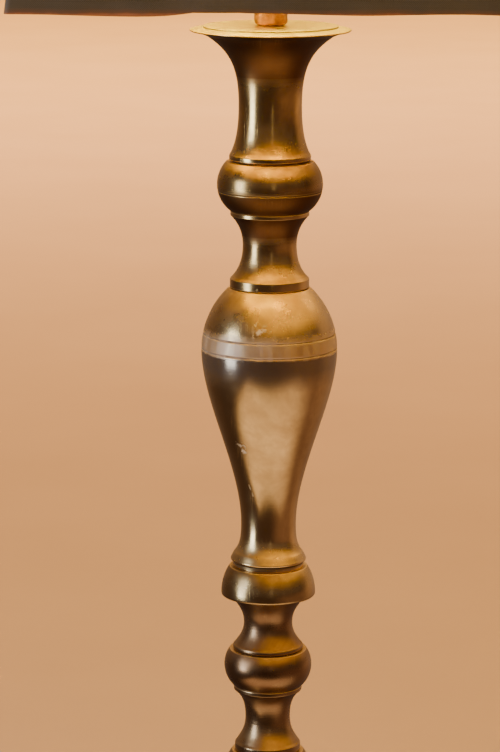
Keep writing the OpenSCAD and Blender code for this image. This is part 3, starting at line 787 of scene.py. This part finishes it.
def cloth_shell(name, outer, thickness, z_low, z_high, per_side=61, rows=49):
    """A closed skin of cloth round the frame, outer metres proud of the cloth's own face."""
    draw_in, slack, ripple_height = 1.5 * mm, 0.35 * mm, 0.35 * mm
    posts = square_path(per_side, 5)
    count = len(posts)
    points = []
    for skin in (0, 1):
        for j in range(rows):
            t = j / (rows - 1)
            for turn, along, side, bend in posts:
                z = z_low + (z_high - z_low) * t
                half = half_low - slope * (z - hem_z) + outer - skin * thickness
                share = (z - hem_z) / (crown_z - hem_z)
                wave = hem_wave(side, along) * (1 - share) ** 6
                wave -= hem_wave((side + 2) % 4 + 1, along) * 0.6 * share**8
                belly = (1 - along**2) * (1 - (2 * share - 1) ** 2)
                crease = noise.noise(Vector((along * 3.1, share * 2.6, side * 4.0)))
                ripple = math.exp(-share / 0.06) * math.sin(along * 23 + side) * (1 - along**6)
                flat = half - corner_radius
                if bend == 0:
                    out = half - draw_in * belly + slack * crease * belly**0.3 + ripple_height * ripple
                    local = Vector((along * flat, -out, 0))
                else:
                    local = Vector((flat + corner_radius * math.sin(bend),
                                    -flat - corner_radius * math.cos(bend), 0))
                place = Matrix.Rotation(turn + math.pi / 2, 3, "Z") @ local
                points.append((place.x, place.y, z + wave))
    faces = []
    for j in range(rows - 1):
        for i in range(count):
            k = (i + 1) % count
            a, b = j * count, (j + 1) * count
            faces.append((a + i, a + k, b + k, b + i))
            a, b = a + rows * count, b + rows * count
            faces.append((a + i, b + i, b + k, a + k))
    for i in range(count):
        k = (i + 1) % count
        low, high = 0, (rows - 1) * count
        shift = rows * count
        faces.append((low + i, low + shift + i, low + shift + k, low + k))
        faces.append((high + i, high + k, high + shift + k, high + shift + i))
    mesh = bpy.data.meshes.new(name)
    mesh.from_pydata(points, [], faces)
    layer = mesh.uv_layers.new(name="cloth")
    lengths = [0.0]
    for i in range(count):
        p, q = Vector(points[i]), Vector(points[(i + 1) % count])
        lengths.append(lengths[-1] + math.hypot(p.x - q.x, p.y - q.y))
    for polygon in mesh.polygons:
        columns = [mesh.loops[l].vertex_index % (rows * count) % count for l in polygon.loop_indices]
        seam = max(columns) - min(columns) > count // 2
        for l, c in zip(polygon.loop_indices, columns):
            v = mesh.loops[l].vertex_index
            u = lengths[count] if seam and c == 0 else lengths[c]
            layer.data[l].uv = (u, points[v][2] - hem_z)
    mesh.polygons.foreach_set("use_smooth", [True] * len(mesh.polygons))
    mesh.set_sharp_from_angle(angle=math.radians(50))
    piece = bpy.data.objects.new(name, mesh)
    bpy.context.scene.collection.objects.link(piece)
    return piece


def woven(name, warp, weft, pitch, depth, fade=None):
    """Plain-woven cloth on the piece's own UV: crossing threads, slubs and a little dust.
    fade is the reddish-brown colour along the hem, a painted glow of the bulb's light through the cloth,
    lighter at the lowest edge as a painted highlight."""
    f = Finish(name)
    f.place = f.put("TexCoord", {}, out="UV")
    drift = f.put("TexNoise", {"Vector": f.place, "Scale": 60.0, "Detail": 2.0}, out="Color")
    wobble = f.put("VectorMath", {0: drift, 1: (0.6 * mm, 0.6 * mm, 0)}, operation="MULTIPLY")
    at = f.put("VectorMath", {0: f.place, 1: wobble}, operation="ADD")
    parts = f.put("SeparateXYZ", {0: at}).node.outputs
    u = f.maths("MULTIPLY", parts[0], math.pi / pitch)
    v = f.maths("MULTIPLY", parts[1], math.pi / pitch)
    over = f.maths("MULTIPLY", f.maths("SINE", u), f.maths("SINE", v))
    over = f.maths("GREATER_THAN", over, 0.0)
    across = f.maths("ABSOLUTE", f.maths("SINE", u))
    along = f.maths("ABSOLUTE", f.maths("SINE", v))
    below = f.maths("MULTIPLY", f.maths("SUBTRACT", 1.0, over), along)
    height = f.maths("ADD", f.maths("MULTIPLY", over, across), below)
    # The gaps between threads are darkened as painted shade.
    thread_gap_shade = f.maths("SUBTRACT", 1.0, f.ramp(height, 0.1, 0.6))
    slub_u = f.noise(1, 3, 0.6, at=f.scaled((1 / pitch, 14, 1)))
    slub_v = f.noise(1, 3, 0.6, at=f.scaled((14, 1 / pitch, 1)))
    dust = f.ramp(f.noise(13, 5, 0.62), 0.45, 0.75)
    colour = f.mix(over, warp, weft)
    for share, amount, tint in (
        (f.ramp(slub_u, 0.42, 0.72), 0.55, [c * 1.7 for c in warp]),
        (f.ramp(slub_v, 0.42, 0.72), 0.45, [c * 0.55 for c in weft]),
        (thread_gap_shade, 0.5, [c * 0.35 for c in warp]),
        (dust, 0.25, [min(1, c * 1.9 + 0.02) for c in weft]),
    ):
        colour = f.mix(f.maths("MULTIPLY", share, amount), colour, tint)
    if fade is not None:
        # The hem's reddish band is a painted glow of light through the cloth; its lighter lowest edge is a
        # painted highlight.
        ragged = f.maths("MULTIPLY_ADD", f.noise(45, 3), 3 * mm, parts[1])
        hem_glow, edge = f.ramp(ragged, 5.5 * mm, 2 * mm), f.ramp(ragged, 3 * mm, 1.6 * mm)
        colour = f.mix(f.maths("MULTIPLY", hem_glow, 0.75), colour, fade)
        colour = f.mix(f.maths("MULTIPLY", edge, 0.7), colour, [c * 2.2 for c in fade])
    slubs = f.maths("MULTIPLY", f.maths("ADD", slub_u, slub_v), 0.5)
    return f.set(
        Base_Color=colour, Roughness=f.maths("MULTIPLY_ADD", slub_u, 0.15, 0.77),
        Sheen_Weight=0.3, Sheen_Roughness=0.5, Normal=f.bump(f.maths("ADD", height, slubs), 0.7, depth),
    )


cover_cloth = woven("dark_shade_cloth", (0.062, 0.066, 0.062), (0.102, 0.105, 0.1), 0.9 * mm, 0.3 * mm)
cover = cloth_shell("shade_cloth", 0.0, 1.2 * mm, hem_z, crown_z)
cover.data.materials.append(cover_cloth)
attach(cover, "shade")
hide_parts("shade_cover")

laminate = Finish("cream_laminate")
weave_print = laminate.noise(1, 3, 0.6, at=laminate.scaled((500, 500, 500)))
yellowed = laminate.ramp(laminate.noise(7, 4), 0.4, 0.8)
laminate.set(
    Base_Color=laminate.mix(yellowed, (0.8, 0.7, 0.46), (0.66, 0.53, 0.3)),
    Roughness=0.5, Subsurface_Weight=0.05, Normal=laminate.bump(weave_print, 0.25, 0.3 * mm),
)
inside = cloth_shell("shade_laminate", -1.25 * mm, 0.45 * mm, hem_z + 0.2 * mm, crown_z - 0.2 * mm)
inside.data.materials.append(laminate.material)
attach(inside, "shade")
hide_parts("shade_lining")

# Hem tapes: narrow folded strips of cloth, glued round the cover's two hems over
# the wire. The lower one is painted reddish brown along its edge, a painted glow of
# the bulb's light through the cloth, lighter still as a painted highlight on the fold.
tape_cloth = woven("hem_tape", (0.058, 0.06, 0.055), (0.096, 0.096, 0.09), 0.6 * mm, 0.2 * mm,
                   (0.2, 0.085, 0.04))
tape_width, tape_thickness, tape_proud = 9 * mm, 0.6 * mm, 0.62 * mm
for name, node, low, high in (
    ("hem_tape", "bottom_binding", hem_z, hem_z + tape_width),
    ("crown_tape", "top_binding", crown_z - tape_width, crown_z),
):
    tape = cloth_shell(name, tape_proud, tape_thickness, low, high, 61, 7)
    tape.data.materials.append(tape_cloth)
    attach(tape, "shade")
    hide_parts(node)

# Stage: a plain pale floor that runs out past every view, a little pinker near
# the lamp and more golden far behind it.
floor_reach = 40
floor_mesh = bpy.data.meshes.new("floor")
floor_mesh.from_pydata(
    [(x * floor_reach, y * floor_reach, 0) for x, y in ((-1, -1), (1, -1), (1, 1), (-1, 1))],
    [], [(0, 1, 2, 3)])
floor = bpy.data.objects.new("floor", floor_mesh)
bpy.context.scene.collection.objects.link(floor)
pale = Finish("pale_floor")
cloud = pale.ramp(pale.noise(3, 3), 0.3, 0.7)
# Far behind the lamp the floor turns bright golden: a painted glow standing in for warm lamplight.
away = pale.ramp(pale.put("SeparateXYZ", {0: pale.place}).node.outputs[1], 0.5, 12.0)
pale.set(
    Base_Color=pale.mix(away, pale.mix(cloud, (0.47, 0.34, 0.31), (0.5, 0.365, 0.33)),
                        pale.mix(cloud, (0.88, 0.56, 0.14), (0.92, 0.6, 0.17))),
    Roughness=0.9, Normal=pale.bump(pale.noise(35, 3), 0.15, 0.002),
)
floor_mesh.materials.append(pale.material)


# Light: a tall cool window at the left, a faint doorway in front, soft light on the
# floor behind, the lamp's own bulb, and a dim dome that is golden overhead.
def panel(name, place, aim, size, power, colour, mirrored=True):
    data = bpy.data.lights.new(name, "AREA")
    data.shape = "RECTANGLE"
    data.size, data.size_y = size
    data.energy = power
    data.color = colour
    light = bpy.data.objects.new(name, data)
    bpy.context.scene.collection.objects.link(light)
    light.location = place
    light.rotation_mode = "QUATERNION"
    light.rotation_quaternion = (Vector(aim) - Vector(place)).to_track_quat("-Z", "Y")
    light.visible_camera = False
    light.visible_glossy = mirrored


panel("window", (-1.21, -0.49, 0.46), (0, 0, 0.46), (0.42, 0.88), 12, (0.8, 0.89, 1.0))
panel("doorway", (0.35, -2.6, 0.9), (0, 0, 0.5), (0.14, 1.2), 0.45, (1.0, 0.86, 0.6))
panel("behind", (0, 5.5, 3.2), (0, 6, 0), (9, 3), 560, (1.0, 0.62, 0.36), mirrored=False)
panel("before", (0, -6.5, 3.2), (0, -8, 0), (9, 3), 500, (1.0, 0.66, 0.36), mirrored=False)
globe_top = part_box("bulb_glass")[1].z
bulb_data = bpy.data.lights.new("bulb_light", "POINT")
bulb_data.energy = 8.0
bulb_data.color = (1.0, 0.66, 0.02)
bulb_data.shadow_soft_size = 0.027
bulb_light = bpy.data.objects.new("bulb_light", bulb_data)
bpy.context.scene.collection.objects.link(bulb_light)
bulb_light.location = (0, 0, globe_top - 30 * mm)
floor.visible_glossy = False

dome = bpy.data.worlds.new("studio_dome")
bpy.context.scene.world = dome
dome.use_nodes = True
sky = dome.node_tree
sky.nodes.clear()


def sky_node(kind, inputs, out=0, **settings):
    node = sky.nodes.new("ShaderNode" + kind)
    for key, value in settings.items():
        setattr(node, key, value)
    for key, value in inputs.items():
        if isinstance(value, bpy.types.NodeSocket):
            sky.links.new(value, node.inputs[key])
        else:
            node.inputs[key].default_value = value
    return node.outputs[out]


def soft_step(value, low, high):
    return sky_node("MapRange", {"Value": value, "From Min": low, "From Max": high},
                    interpolation_type="SMOOTHSTEP")


def times(*values):
    product = values[0]
    for value in values[1:]:
        product = sky_node("Math", {0: product, 1: value}, operation="MULTIPLY")
    return product


def less(a, b):
    return sky_node("Math", {0: a, 1: b}, operation="SUBTRACT")


def glow_of(share, colour, strength):
    """One soft region of the dome, as a colour to add."""
    return sky_node("VectorMath", {0: [c * strength for c in colour], "Scale": share}, operation="SCALE")


toward = sky_node("SeparateXYZ", {0: sky_node("TexCoord", {}, out="Generated")}).node.outputs
east, north, up = toward[0], toward[1], toward[2]
down = sky_node("Math", {0: less(0.0, up), 1: 0.03}, operation="MAXIMUM")
fall_east = sky_node("Math", {0: east, 1: down}, operation="DIVIDE")
fall_south = sky_node("Math", {0: less(0.0, north), 1: down}, operation="DIVIDE")
below = soft_step(up, 0.02, -0.05)
front = soft_step(north, 0.1, -0.2)
overhead = times(soft_step(up, 0.26, 0.66), soft_step(east, -0.95, 0.25))
wall = times(soft_step(north, -0.05, 0.5), soft_step(up, -0.7, 0.5), soft_step(east, -1.3, 0.2))
eye_level = times(front, soft_step(up, 0.0, 0.06), soft_step(up, 0.45, 0.25))
lit_floor = times(
    below, soft_step(fall_east, -1.32, -1.12), soft_step(fall_south, 1.75, 1.0),
    soft_step(north, 0.15, -0.4), soft_step(fall_east, 2.2, 0.2))
right_floor = times(below, soft_step(east, 0.0, 0.95))
dome_light = glow_of(1.0, (1.0, 0.55, 0.38), 0.085)
for share, colour, strength in (
    (overhead, (1.0, 0.54, 0.07), 1.8),
    (wall, (1.0, 0.6, 0.3), 0.7),
    (eye_level, (0.62, 0.52, 0.44), 0.16),
    (lit_floor, (1.0, 0.7, 0.42), 1.6),
    (right_floor, (1.0, 0.5, 0.28), 0.22),
):
    region = glow_of(share, colour, strength)
    dome_light = sky_node("VectorMath", {0: dome_light, 1: region}, operation="ADD")
lit = sky_node("Background", {0: dome_light, 1: 1.0})
seen = sky_node("Background", {0: (0.85, 0.68, 0.5, 1), 1: 0.8})
choose = sky_node("MixShader", {0: sky_node("LightPath", {}, out="Is Camera Ray"), 1: lit, 2: seen})
sky.links.new(choose, sky.nodes.new("ShaderNodeOutputWorld").inputs[0])
